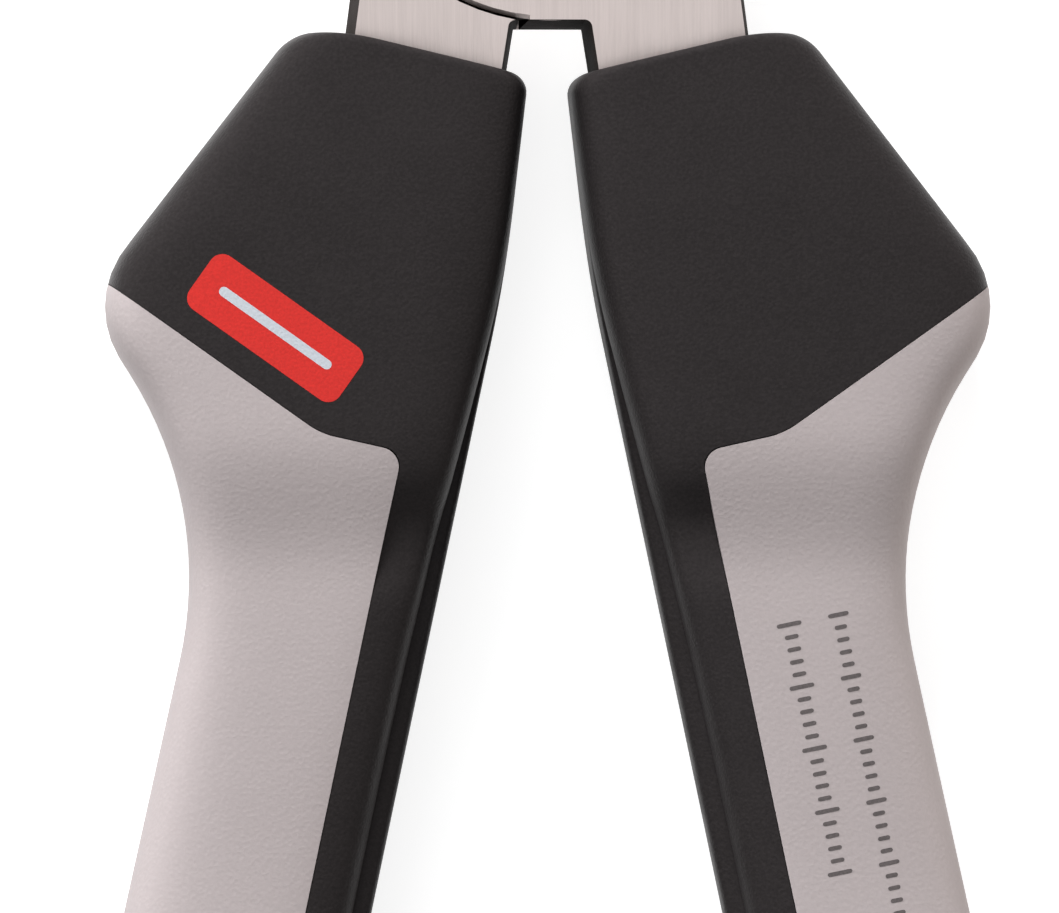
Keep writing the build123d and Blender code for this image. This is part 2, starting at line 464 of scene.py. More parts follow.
def brush(nodes: Nodes, entry: bpy.types.bpy_prop_collection, leave: bpy.types.Node) -> None:
    """Fine lines along the tool, as a belt grinder leaves them.

    Args:
        nodes: The group's node builder.
        entry: The group's inputs.
        leave: The node that takes the group's outputs.
    """
    bands_per_line = 0.16
    here = nodes.add("TexCoord").outputs["Object"]
    along = nodes.feed(nodes.add("CombineXYZ"), X=1.0, Y=entry["Stretch"], Z=1.0)
    spread = nodes.feed(nodes.add("VectorMath", operation="MULTIPLY"), i0=here, i1=along.outputs[0])
    lines = nodes.feed(
        nodes.add("TexNoise"), Vector=spread.outputs[0], Scale=entry["Frequency"], Detail=4.0, Roughness=0.7
    )
    band_frequency = nodes.math("MULTIPLY", entry["Frequency"], bands_per_line)
    bands = nodes.feed(nodes.add("TexNoise"), Vector=spread.outputs[0], Scale=band_frequency, Detail=2.0)
    nodes.feed(leave, Lines=nodes.ramp(lines.outputs[0], low=0.25, high=0.75))
    nodes.feed(leave, Bands=nodes.ramp(bands.outputs[0], low=0.3, high=0.7))


def handling(nodes: Nodes, entry: bpy.types.bpy_prop_collection, leave: bpy.types.Node) -> None:
    """Soft smears and faint scuffs from use.

    Args:
        nodes: The group's node builder.
        entry: The group's inputs.
        leave: The node that takes the group's outputs.
    """
    here = nodes.add("TexCoord").outputs["Object"]
    smear = nodes.feed(
        nodes.add("TexNoise"), Vector=here, Scale=entry["Frequency"], Detail=3.0, Distortion=0.8
    )
    scuff = nodes.feed(
        nodes.add("TexNoise"), Vector=here, Scale=entry["Scuff Frequency"], Detail=6.0, Roughness=0.75
    )
    nodes.feed(leave, Smears=nodes.ramp(smear.outputs[0], low=0.35, high=0.7))
    nodes.feed(leave, Scuffs=nodes.ramp(scuff.outputs[0], low=0.6, high=0.75))


@dataclass(frozen=True)
class Effect:
    """An effect that several finishes share, as a shader group built once."""

    name: str
    inputs: tuple[tuple[str, float], ...]
    outputs: tuple[str, ...]
    maker: Callable[[Nodes, bpy.types.bpy_prop_collection, bpy.types.Node], None]

    def group(self) -> bpy.types.ShaderNodeTree:
        """Makes the group, or finds the one already made.

        Returns:
            The group.
        """
        if self.name in bpy.data.node_groups:
            return bpy.data.node_groups[self.name]
        tree = bpy.data.node_groups.new(self.name, "ShaderNodeTree")
        for name, value in self.inputs:
            socket = tree.interface.new_socket(name, in_out="INPUT", socket_type="NodeSocketFloat")
            socket.default_value = value
        for name in self.outputs:
            tree.interface.new_socket(name, in_out="OUTPUT", socket_type="NodeSocketFloat")
        entry = tree.nodes.new("NodeGroupInput")
        self.maker(Nodes(tree), entry.outputs, tree.nodes.new("NodeGroupOutput"))
        return tree

    def use(self, nodes: Nodes, **values: float) -> bpy.types.bpy_prop_collection:
        """Places the effect in a material.

        Args:
            nodes: The material's node builder.
            **values: The effect's inputs, by name with _ for a space.

        Returns:
            The outputs of the effect's node.
        """
        node = nodes.add("Group")
        node.node_tree = self.group()
        return nodes.feed(node, **values).outputs


GRAIN = Effect(
    "Moulded grain", (("Frequency", 4000.0), ("Blotch Frequency", 260.0)), ("Height", "Mottle"), grain
)
BRUSH = Effect("Grinding lines", (("Frequency", 5200.0), ("Stretch", 0.02)), ("Lines", "Bands"), brush)
HANDLING = Effect(
    "Handling marks", (("Frequency", 90.0), ("Scuff Frequency", 700.0)), ("Smears", "Scuffs"), handling
)


# Finishes


def start_material(name: str) -> tuple[bpy.types.Material, Nodes, bpy.types.Node]:
    """Starts a material with one surface shader.

    Args:
        name: The material's name.

    Returns:
        The material, its node builder and its surface shader.
    """
    material = bpy.data.materials.new(name)
    material.use_nodes = True
    tree = material.node_tree
    return material, Nodes(tree), tree.nodes["Principled BSDF"]


def shaded(colour: Colour, share: float) -> tuple[float, float, float, float]:
    """The colour made darker or lighter by a share, with full alpha."""
    return (*(part * share for part in colour), 1.0)


@dataclass(frozen=True)
class Plastic:
    """Moulded plastic with a fine grain and soft smears."""

    name: str
    colour: Colour
    roughness: float
    specular: float
    mottle: float
    grain_frequency: float
    grain_depth: float
    scuff_share: float = 0.3
    smear_spread: tuple[float, float] = (-0.03, 0.05)

    def material(self) -> bpy.types.Material:
        """Builds the finish.

        Returns:
            The material.
        """
        material, nodes, surface = start_material(self.name)
        texture = GRAIN.use(nodes, Frequency=self.grain_frequency)
        marks = HANDLING.use(nodes)
        dark, light = shaded(self.colour, 1 - self.mottle), shaded(self.colour, 1 + self.mottle)
        tone = nodes.mix(texture["Mottle"], dark, light)
        tone = nodes.mix(nodes.math("MULTIPLY", marks["Scuffs"], self.scuff_share), tone, light)
        bump = nodes.bump(texture["Height"], self.grain_depth)
        nodes.feed(surface, Base_Color=tone, Normal=bump, Specular_IOR_Level=self.specular)
        nodes.feed(surface, Roughness=nodes.spread(marks["Smears"], self.roughness, self.smear_spread))
        return material


@dataclass(frozen=True)
class Steel:
    """Steel with grinding lines, faint bands and handling marks."""

    name: str
    colour: Colour
    metallic: float
    roughness: float
    contrast: float
    line_frequency: float
    stretch: float
    line_depth: float
    specular: float = 0.5
    line_share: float = 0.7
    scuff_share: float = 0.15
    scuff_tone: float = 0.7
    smear_spread: tuple[float, float] = (-0.04, 0.06)

    def material(self) -> bpy.types.Material:
        """Builds the finish.

        Returns:
            The material.
        """
        material, nodes, surface = start_material(self.name)
        texture = BRUSH.use(nodes, Frequency=self.line_frequency, Stretch=self.stretch)
        marks = HANDLING.use(nodes)
        lines = nodes.math("MULTIPLY", texture["Lines"], self.line_share)
        blend = nodes.math("ADD", lines, nodes.math("MULTIPLY", texture["Bands"], 1 - self.line_share))
        dark, light = shaded(self.colour, 1 - self.contrast), shaded(self.colour, 1 + self.contrast)
        scuffs = nodes.math("MULTIPLY", marks["Scuffs"], self.scuff_share)
        tone = nodes.mix(scuffs, nodes.mix(blend, dark, light), shaded(self.colour, self.scuff_tone))
        bump = nodes.bump(texture["Lines"], self.line_depth)
        nodes.feed(surface, Base_Color=tone, Normal=bump, Specular_IOR_Level=self.specular)
        nodes.feed(surface, Roughness=nodes.spread(marks["Smears"], self.roughness, self.smear_spread))
        nodes.feed(surface, Metallic=self.metallic)
        return material


@dataclass(frozen=True)
class Ink:
    """Pad-printed ink, slightly uneven over the grain."""

    name: str
    colour: Colour
    patchiness: float = 0.12
    roughness: float = 0.5
    grain_frequency: float = 5000.0
    grain_depth: float = 0.00002

    def material(self) -> bpy.types.Material:
        """Builds the finish.

        Returns:
            The material.
        """
        material, nodes, surface = start_material(self.name)
        texture = GRAIN.use(nodes, Frequency=self.grain_frequency)
        dark, light = shaded(self.colour, 1 - self.patchiness), shaded(self.colour, 1 + self.patchiness)
        tone = nodes.mix(texture["Mottle"], dark, light)
        bump = nodes.bump(texture["Height"], self.grain_depth)
        nodes.feed(surface, Base_Color=tone, Normal=bump, Roughness=self.roughness)
        return material


BLACK_PLASTIC = Plastic(
    "black_plastic_finish", (0.0315, 0.0278, 0.0283), roughness=0.42, specular=0.05, mottle=0.20,
    grain_frequency=4200.0, grain_depth=0.00003,
)
GREY_PLASTIC = Plastic(
    "grey_plastic_finish", (0.525, 0.466, 0.467), roughness=0.62, specular=0.30, mottle=0.035,
    grain_frequency=3400.0, grain_depth=0.00002,
)
GROUND_STEEL = Steel(
    "ground_steel_finish", (0.630, 0.555, 0.536), metallic=1.0, roughness=0.36, contrast=0.07,
    line_frequency=5200.0, stretch=0.02, line_depth=0.000012,
)
FORGED_STEEL = Steel(
    "forged_steel_finish", (0.016, 0.011, 0.009), metallic=0.0, roughness=0.60, contrast=0.20,
    line_frequency=2600.0, stretch=0.5, line_depth=0.00002, specular=0.02,
)
RIVET_STEEL = replace(
    GROUND_STEEL, name="rivet_steel_finish", colour=(0.575, 0.512, 0.497), roughness=0.30, contrast=0.06
)
RED_INK = Ink("red_ink", (0.66, 0.029, 0.023))
PALE_INK = Ink("pale_ink", (0.62, 0.66, 0.72), patchiness=0.06)
DARK_INK = Ink("dark_ink", (0.11, 0.095, 0.095), patchiness=0.25)


def dress(piece: bpy.types.Object, body: Body, slot: str, *materials: bpy.types.Material) -> None:
    """Gives a finished piece its materials and its body.

    Args:
        piece: The piece.
        body: The body that it moves with.
        slot: The record's material slot; not used.
        *materials: The materials, in the order of the mesh's material numbers.
    """
    for material in materials:
        piece.data.materials.append(material)
    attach(piece, body.value)
    log.info("%s: %d faces on %s", piece.name, len(piece.data.polygons), body.value)


# Grips


@dataclass(frozen=True)
class CrossSection:
    """One cross-section of the right grip: four quarter curves, with the rib on the inner side."""

    low: float
    high: float
    deep: float
    full: float
    rib: float

    def quarter(self, turn: float) -> tuple[float, float]:
        """A point on a unit quarter curve.

        Args:
            turn: From 0 on the side to 1 on the face.

        Returns:
            The shares of half the width and half the depth.
        """
        back = 1 - turn
        side, face = 3 * back**2 * turn, 3 * back * turn**2
        return back**3 + side + face * self.full, side * self.full + face + turn**3

    def turn_at(self, share: float, way: Way) -> float:
        """The turn at which a quarter curve reaches a share of its size.

        Args:
            share: The share, of half the width or half the depth.
            way: Whether the share is taken across or up.

        Returns:
            The turn, from 0 on the side to 1 on the face.
        """
        start, end = 0.0, 1.0
        for _ in range(HALVINGS):
            middle = (start + end) / 2
            if (self.quarter(middle)[way.value] < share) == (way is Way.UP):
                start = middle
            else:
                end = middle
        return start

    def at(self, flank: Flank, turn: float) -> tuple[float, float]:
        """The x and z of a point of the front half, at a turn from 0 on the side to 1 on the face."""
        across, up = self.quarter(turn)
        return (self.low + self.high) / 2 + flank.value * (self.high - self.low) / 2 * across, self.deep * up

    def face_z(self, x: float) -> float:
        """Height of the front face.

        Args:
            x: Distance from the centre line.

        Returns:
            The z of the face there.
        """
        wide = (self.high - self.low) / 2
        share = min(NEARLY_ONE, abs(x - (self.low + self.high) / 2) / wide)
        return self.deep * self.quarter(self.turn_at(share, Way.ACROSS))[1]


@dataclass(frozen=True)
class GripShape:
    """Form of the right grip. The left one is its mirror image.

    rib_profile runs from the foot of the rib to the parting plane. Each of its points is a height, and how
    far the surface is set in there, or stands out where that is below 0. outer and inner are the sides.
    """

    cap_top: float = 15.6
    cap_slope_start: float = 14.4
    cap_slope_bend: float = 2.0
    cap_inner_x: float = 1.4
    cap_inner_level: float = 18.7
    cap_corner: float = 1.25
    cap_rim: float = 0.5
    cap_warp_start: float = 3.0
    cap_warp_end: float = 12.0
    cap_drops: tuple[float, ...] = (0, 0.02, 0.07, 0.15, 0.27, 0.4, 0.55, 0.75, 1.0, 1.3, 1.7, 2.3)
    cap_pitch: float = 0.9
    cap_depth: float = 15.2
    guard_depth: float = 16.6
    waist_depth: float = 13.4
    palm_depth: float = 16.6
    end_depth: float = 15.0
    skin_top: float = 11.6
    crest_start: float = 29.0
    crest_end: float = 43.5
    waist_start: float = 54.5
    waist_end: float = 72.0
    palm_level: float = PALM_LEVEL
    end_level: float = 146.0
    end_round: float = 6.5
    end_inset: float = 5.2
    cap_fullness: float = 1.0
    palm_fullness: float = 0.84
    skin_margin: float = 0.03
    rib_height: float = 1.2
    rib_start: float = 27.0
    rib_full: float = 62.0
    rib_fade: float = 118.0
    rib_end: float = 132.0
    rib_room: float = 4.5
    strip_width: float = 4.9
    strip_dip: float = 0.0
    dip_start: float = 47.2
    dip_deepest: float = 50.0
    dip_end: float = 56.0
    soft_wall: float = 2.1
    quarter_points: int = 20
    dome_steps: int = 14
    core_steps: int = 40
    pitch: float = 1.2
    rib_profile: tuple[tuple[float, float], ...] = (
        (3.30, 0.0), (3.16, 0.20), (3.02, 0.34), (2.88, 0.34), (2.76, 0.10), (2.68, -0.22), (2.60, -0.50),
        (2.45, -0.82), (2.20, -1.04), (1.85, -1.15), (1.30, -1.19), (0.0, -1.20),
    )
    outer: SideLine = field(default_factory=lambda: SideLine(
        Corner(14.537, 10.6), Corner(33.11, 34.64, 6.9), Corner(23.8, 49.2, 27.0),
        Corner(35.7, PALM_LEVEL, PALM_RADIUS), Corner(28.6, 147.0),
    ))
    inner: SideLine = field(default_factory=lambda: SideLine(
        Corner(0.4645, 10.6), Corner(3.04, 32.9, 100.0), Corner(17.7, PALM_LEVEL, PALM_RADIUS),
        Corner(13.6, 147.0),
    ))

    def rib(self, level: float) -> float:
        """How far the rib stands out at a level."""
        fade = smooth_step(level, self.rib_fade, self.rib_end)
        return self.rib_height * smooth_step(level, self.rib_start, self.rib_full) * (1 - fade)

    def half_depth(self, level: float) -> float:
        """Half the grip's depth.

        Args:
            level: How far below the pivot.

        Returns:
            Half the depth there.
        """
        depth = self.cap_depth
        depth += (self.guard_depth - self.cap_depth) * smooth_step(level, self.skin_top, self.crest_start)
        depth += (self.waist_depth - self.guard_depth) * smooth_step(level, self.crest_end, self.waist_start)
        depth += (self.palm_depth - self.waist_depth) * smooth_step(level, self.waist_end, self.palm_level)
        depth += (self.end_depth - self.palm_depth) * smooth_step(level, self.palm_level, self.end_level)
        dip = smooth_step(level, self.dip_start, self.dip_deepest)
        dip -= smooth_step(level, self.dip_deepest, self.dip_end)
        return depth / 2 - self.strip_dip * dip

    def section(self, level: float, inset_x: float = 0.0, inset_z: float = 0.0) -> CrossSection:
        """The cross-section at a level.

        Args:
            level: How far below the pivot.
            inset_x: How much it is taken in at each side.
            inset_z: How much it is taken in at front and back.

        Returns:
            The cross-section.
        """
        rib = self.rib(level)
        turn = smooth_step(level, self.crest_end, self.waist_end)
        return CrossSection(
            low=self.inner.x_at(level) + rib + self.skin_margin + inset_x,
            high=self.outer.x_at(level) - self.skin_margin - inset_x,
            deep=self.half_depth(level) - self.skin_margin - inset_z,
            full=self.cap_fullness + (self.palm_fullness - self.cap_fullness) * turn,
            rib=rib / self.rib_height,
        )

    def stations(self) -> int:
        """Points of the front half of a ring, from the outer side to the inner one."""
        return 2 * self.quarter_points + len(self.rib_profile)

    def front_point(self, section: CrossSection, station: int, ribbed: bool = True) -> tuple[float, float]:
        """One point of a ring's front half.

        Args:
            section: The cross-section.
            station: The point's number, counted from the outer side.
            ribbed: Whether the rib and its groove are on the inner side.

        Returns:
            The x and z of the point.
        """
        count = self.quarter_points
        if station < count:
            return section.at(Flank.OUTER, station / count)
        squeeze = min(1.0, section.deep / self.rib_room)
        foot = section.turn_at(self.rib_profile[0][0] * squeeze / section.deep, Way.UP)
        if station < 2 * count:
            return section.at(Flank.INNER, 1 - (1 - foot) * (station - count) / count)
        z, step = self.rib_profile[station - 2 * count]
        z *= squeeze
        x = section.at(Flank.INNER, section.turn_at(z / section.deep, Way.UP))[0]
        return (x + step * section.rib, z) if ribbed else (x, z)

    def ring(self, locate: Callable[[int], tuple[float, float, float]], flat: bool = False) -> list[Vector]:
        """A closed ring, of which the back half mirrors the front half.

        Args:
            locate: Gives x, level and z of each station of the front half.
            flat: Whether the ring is folded into the parting plane, to close a loft.

        Returns:
            Its points in the row frame.
        """
        front = [locate(station) for station in range(self.stations())]
        both = front + [(x, level, -z) for x, level, z in reversed(front[1:-1])]
        return [place(x, level, 0 if flat else z) for x, level, z in both]

    def level_ring(
        self, level: float, inset: float = 0.0, ribbed: bool = True, flat: bool = False
    ) -> list[Vector]:
        """A ring in a plane across the handle.

        Args:
            level: How far below the pivot.
            inset: How much it is taken in on all sides.
            ribbed: Whether it has the rib and its groove.
            flat: Whether the ring is folded into the parting plane.

        Returns:
            Its points in the row frame.
        """
        section = self.section(level, inset, inset)

        def locate(station: int) -> tuple[float, float, float]:
            """The x, level and z of a station in the plane."""
            x, z = self.front_point(section, station, ribbed)
            return x, level, z

        return self.ring(locate, flat)

    def cap_edge(self, x: float) -> float:
        """The cap's top edge, before its corners are rounded.

        Args:
            x: Distance from the centre line.

        Returns:
            The level of the edge there.
        """
        slope = (self.cap_inner_level - self.cap_top) / (self.cap_slope_start - self.cap_inner_x)
        over = min(max(self.cap_slope_start - x, -self.cap_slope_bend), 2 * self.cap_slope_start)
        if over >= self.cap_slope_bend:
            return self.cap_top + slope * over
        return self.cap_top + slope * (over + self.cap_slope_bend) ** 2 / (4 * self.cap_slope_bend)

    def cap_ring(self, drop: float, flat: bool = False) -> list[Vector]:
        """A ring that follows the cap's sloping top edge.

        Args:
            drop: How far below the edge the ring lies.
            flat: Whether the ring is folded into the parting plane.

        Returns:
            Its points in the row frame.
        """
        inset_x = rounding(drop, self.cap_corner)
        inset_z = rounding(drop, self.cap_rim)
        fade = 1 - smooth_step(drop, self.cap_warp_start, self.cap_warp_end)

        def locate(station: int) -> tuple[float, float, float]:
            """Settles a station on the warped ring.

            Args:
                station: The point's number, counted from the outer side.

            Returns:
                Its x, level and z.
            """
            level = self.cap_top + drop
            for _ in range(SETTLING_ROUNDS):
                x, z = self.front_point(self.section(level, inset_x, inset_z), station)
                level = self.cap_top + drop + (self.cap_edge(x) - self.cap_top) * fade
            return x, level, z

        return self.ring(locate, flat)

    def skin_rings(self) -> list[list[Vector]]:
        """The rings of the whole grip.

        Returns:
            The rings from the cap's top to the domed end.
        """
        rings = [self.cap_ring(0, flat=True)]
        drops = list(self.cap_drops)
        while drops[-1] < self.cap_warp_end:
            drops.append(drops[-1] + self.cap_pitch)
        rings += [self.cap_ring(drop) for drop in drops]
        level = self.cap_top + drops[-1] + self.pitch
        while level < self.end_level - self.end_round - self.pitch / 2:
            rings.append(self.level_ring(level))
            level += self.pitch
        for step in range(self.dome_steps + 1):
            turn = math.pi / 2 * step / self.dome_steps
            level = self.end_level - self.skin_margin - self.end_round * (1 - math.sin(turn))
            rings.append(self.level_ring(level, self.end_inset * (1 - math.cos(turn))))
        rings.append(self.level_ring(level, self.end_inset, flat=True))
        return rings

    def core_rings(self) -> list[list[Vector]]:
        """The rings of the hard core under the jacket.

        Returns:
            The rings, one wall thickness inside the skin.
        """
        start, end = self.crest_start, self.end_level - self.end_round
        steps = range(self.core_steps + 1)
        levels = [start + (end - start) * step / self.core_steps for step in steps]
        rings = [self.level_ring(level, self.soft_wall, ribbed=False) for level in levels]
        first = self.level_ring(start, self.soft_wall, ribbed=False, flat=True)
        last = self.level_ring(end, self.soft_wall, ribbed=False, flat=True)
        return [first, *rings, last]

    def face_z(self, x: float, level: float) -> float:
        """Height of the front face above the parting plane, for a place on the right grip."""
        return self.section(level).face_z(x)


@dataclass(frozen=True)
class SplitPlan:
    """Plan of the grey jacket: below the guard, outside the strip, above the end cap."""

    shape: GripShape
    outer_x: float = 31.5
    outer_level: float = 33.3
    slope: float = 35.3
    knee_x: float = 16.4
    knee_radius: float = 5.0
    corner_drop: float = 1.3
    corner_radius: float = 1.4
    end_cap_length: float = 11.0
    end_cap_slope: float = 16.0
    side_x: float = 60.0
    half_height: float = 20.0
    parting_gap: float = 0.07

    def corners(self, inset: float) -> list[Corner]:
        """The plan's corners.

        Args:
            inset: How far the plan is drawn in from the split.

        Returns:
            The corners in order.
        """
        shape = self.shape
        slope = math.tan(math.radians(self.slope))
        knee_level = self.outer_level + (self.outer_x - self.knee_x) * slope
        corner_level = knee_level + self.corner_drop
        end_level = shape.end_level - self.end_cap_length
        end_x = shape.inner.x_at(end_level) + shape.strip_width
        end_rise = (self.side_x - end_x) * math.tan(math.radians(self.end_cap_slope))
        corner_x = shape.inner.x_at(corner_level) + shape.strip_width
        return [
            Corner(self.side_x, self.outer_level - (self.side_x - self.outer_x) * slope + inset),
            Corner(self.knee_x, knee_level + inset, self.knee_radius),
            Corner(corner_x + inset, corner_level + inset, self.corner_radius),
            Corner(shape.inner.corners[2].x + shape.strip_width + inset, shape.palm_level, PALM_RADIUS),
            Corner(end_x + inset, end_level - inset, self.knee_radius),
            Corner(self.side_x, end_level - end_rise - inset),
        ]

    def prism(self, inset: float, name: str) -> bpy.types.Object:
        """The plan as an upright solid, higher than the grip.

        Args:
            inset: How far the plan is drawn in from the split.
            name: The helper object's name.

        Returns:
            The helper object.
        """
        mesh = Mesh()
        mesh.add_prism(self.corners(inset), -self.half_height, self.half_height)
        return mesh.finish(name)


@dataclass(frozen=True)
class Grips:
    """Both moulded grips: a black core with cap, rib and end, and a grey jacket over it.

    Under the guard, the core's strip dips below the jacket's face by strip_dip.
    """

    shape: GripShape
    strip_dip: float = 1.2
    tang_gap: float = 0.05

    def lofted(self, rings: list[list[Vector]], name: str) -> bpy.types.Object:
        """A solid through rings.

        Args:
            rings: The cross-sections in order.
            name: The helper object's name.

        Returns:
            The helper object.
        """
        mesh = Mesh()
        mesh.add_loft(rings)
        return mesh.finish(name)

    def right_solids(self) -> tuple[bpy.types.Object, bpy.types.Object]:
        """The right core and jacket before they are dressed.

        Returns:
            The core and the jacket.
        """
        dipped = replace(self.shape, strip_dip=self.strip_dip)
        split = SplitPlan(self.shape)
        core = self.lofted(dipped.skin_rings(), "core_solid")
        jacket = self.lofted(self.shape.skin_rings(), "jacket_solid")
        hard = self.lofted(self.shape.core_rings(), "hard_solid")
        cover = split.prism(0.0, "cover_solid")
        drawn_in = split.prism(split.parting_gap, "drawn_in_solid")
        tang = Mesh()
        tang.add_copy(frame["nodes"]["front_lever"].data)
        tang.swell(self.tang_gap)
        tang_solid = tang.finish("tang_solid")
        carve(cover, hard, Cut.AWAY)
        carve(core, cover, Cut.AWAY)
        carve(core, tang_solid, Cut.AWAY)
        carve(jacket, drawn_in, Cut.WITHIN)
        carve(jacket, hard, Cut.AWAY)
        discard(hard, cover, drawn_in, tang_solid)
        return core, jacket

    def build(self) -> None:
        """Makes the four pieces of the grips."""
        black, grey = BLACK_PLASTIC.material(), GREY_PLASTIC.material()
        solids = self.right_solids()
        for side, body in ((Side.RIGHT, Body.FRONT), (Side.LEFT, Body.REAR)):
            for solid, part, slot, material in zip(
                solids, ("core", "soft"), ("black_plastic", "grey_plastic"), (black, grey)
            ):
                mesh = Mesh()
                mesh.add_copy(solid.data)
                if side is Side.LEFT:
                    mesh.mirror_x()
                mesh.shade()
                node = f"{side.name.lower()}_grip_{part}"
                piece = mesh.finish(f"{node}_moulding")
                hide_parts(node)
                dress(piece, body, slot, material)
        discard(*solids)


# Steel


@dataclass(frozen=True)
class Levers:
    """The two forged levers and the rivet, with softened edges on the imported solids' own shapes."""

    edge_radius: float = 0.12
    edge_facets: int = 2
    ground_tilt: float = 0.3
    flat_turn: float = 0.4
    crease: float = 24.0
    softened_from: float = 30.0
    rivet_slack: float = 0.02

    def build(self) -> None:
        """Dresses the three steel pieces."""
        ground, forged, rivet = GROUND_STEEL.material(), FORGED_STEEL.material(), RIVET_STEEL.material()
        self.piece("front_lever", Body.FRONT, "ground_steel", 0.0, ground, forged)
        self.piece("rear_lever", Body.REAR, "ground_steel", 0.0, ground, forged)
        self.piece("pivot_rivet", Body.FRONT, "rivet_steel", self.rivet_slack, rivet)

    def piece(self, node: str, body: Body, slot: str, slack: float, *materials: bpy.types.Material) -> None:
        """One steel piece.

        Args:
            node: The node that it stands for.
            body: The body that it moves with.
            slot: The record's material slot.
            slack: How far its skin is taken in, so that its facets turn clear of a bore's.
            *materials: The material of the ground faces, and of the forged sides if they differ.
        """
        mesh = Mesh()
        mesh.add_copy(frame["nodes"][node].data)
        mesh.swell(-slack)
        bmesh.ops.dissolve_limit(
            mesh.bm, angle_limit=math.radians(self.flat_turn), verts=mesh.bm.verts, edges=mesh.bm.edges
        )
        mesh.shade(self.crease)
        if len(materials) > 1:
            for face in mesh.bm.faces:
                face.material_index = 0 if abs(face.normal.z) > self.ground_tilt else 1
        piece = mesh.finish(f"{node}_steel")
        bevel = piece.modifiers.new("edges", "BEVEL")
        bevel.width = self.edge_radius * MM
        bevel.segments = self.edge_facets
        bevel.limit_method = "ANGLE"
        bevel.angle_limit = math.radians(self.softened_from)
        bevel.harden_normals = True
        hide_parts(node)
        dress(piece, body, slot, *materials)


# Prints


@dataclass(frozen=True)
class Film:
    """A printed bar with rounded ends, lying on the front face of a grip."""

    x: float
    level: float
    length: float
    width: float
    tilt: float
    corner: float
    lift: float = 0.018
    thickness: float = 0.05
    facet_length: float = 0.35
    facet_width: float = 0.4
    least_steps: int = 8
    least_rows: int = 2

    def spot(self, shape: GripShape, side: Side, along: float, across: float) -> Vector:
        """A point of the film.

        Args:
            shape: The form of the right grip.
            side: The handle that the film is on.
            along: From -1 to 1 along the bar.
            across: From -1 to 1 across it.

        Returns:
            The point in the row frame.
        """
        run = along * self.length / 2
        half = self.width / 2 - rounding(self.length / 2 - abs(run), self.corner)
        turn = math.radians(self.tilt)
        x = self.x + run * math.cos(turn) - across * half * math.sin(turn)
        level = self.level + run * math.sin(turn) + across * half * math.cos(turn)
        return place(side.value * x, level, shape.face_z(x, level) + self.lift)

    def lay(self, mesh: Mesh, shape: GripShape, side: Side) -> None:
        """Adds the bar to a mesh.

        Args:
            mesh: The mesh of the print.
            shape: The form of the right grip.
            side: The handle that it is on.
        """
        steps = max(self.least_steps, round(self.length / self.facet_length))
        rows = max(self.least_rows, round(self.width / self.facet_width))

        def where(column: int, row: int) -> Vector:
            """The place of a corner of the grid. They lie closer together towards the bar's ends."""
            return self.spot(shape, side, -math.cos(math.pi * column / steps), 2 * row / rows - 1)

        mesh.add_grid(steps, rows, where)


def print_films(
    name: str, films: list[Film], shape: GripShape, side: Side, body: Body, slot: str, ink: bpy.types.Material
) -> None:
    """Prints bars as one piece.

    Args:
        name: The piece's name.
        films: The bars.
        shape: The form of the right grip.
        side: The handle that they are on.
        body: The body that they move with.
        slot: The record's material slot.
        ink: Their material.
    """
    mesh = Mesh()
    for film in films:
        film.lay(mesh, shape, side)
    mesh.bm.normal_update()
    for face in mesh.bm.faces:
        if face.normal.z < 0:
            face.normal_flip()
        face.smooth = True
    for edge in mesh.bm.edges:
        edge.smooth = not edge.is_boundary
    piece = mesh.finish(name)
    wall = piece.modifiers.new("film", "SOLIDIFY")
    wall.thickness = films[0].thickness * MM
    wall.offset = -1
    dress(piece, body, slot, ink)


@dataclass(frozen=True)
class TickRow:
    """A printed row of ticks down the right jacket, every fifth one longer."""

    name: str
    x: float
    level: float
    count: int
    short: float
    long: float
    tilt: float = 78.4
    pitch: float = 0.9
    width: float = 0.30
    group: int = 5
    radii_across: float = 2.1

    def films(self) -> list[Film]:
        """The row's ticks.

        Returns:
            The ticks as bars.
        """
        turn = math.radians(self.tilt)
        bars = []
        for number in range(self.count):
            run = number * self.pitch
            length = self.short if number % self.group else self.long
            x, level = self.x + run * math.cos(turn), self.level + run * math.sin(turn)
            corner = self.width / self.radii_across
            bars.append(Film(x, level, length, self.width, self.tilt - 90, corner))
        return bars


@dataclass(frozen=True)
class Prints:
    """The printed marks: a plain red panel on the left cap and two rows of ticks on the right jacket."""

    shape: GripShape
    panel: Film = Film(x=19.6, level=36.6, length=13.0, width=4.6, tilt=-35.3, corner=1.0)
    stripe: Film = replace(panel, length=9.6, width=0.7, corner=0.34, lift=0.026)
    rows: tuple[TickRow, ...] = (
        TickRow("inner_ticks", x=16.9, level=57.6, count=21, short=1.0, long=1.8),
        TickRow("outer_ticks", x=20.4, level=56.9, count=26, short=0.9, long=1.5),
    )

    def build(self) -> None:
        """Prints all marks."""
        red, pale, dark = RED_INK.material(), PALE_INK.material(), DARK_INK.material()
        for name, film, ink in (("cap_panel", self.panel, red), ("cap_panel_stripe", self.stripe, pale)):
            print_films(name, [film], self.shape, Side.LEFT, Body.REAR, "black_plastic", ink)
        for row in self.rows:
            print_films(row.name, row.films(), self.shape, Side.RIGHT, Body.FRONT, "grey_plastic", dark)


# Studio


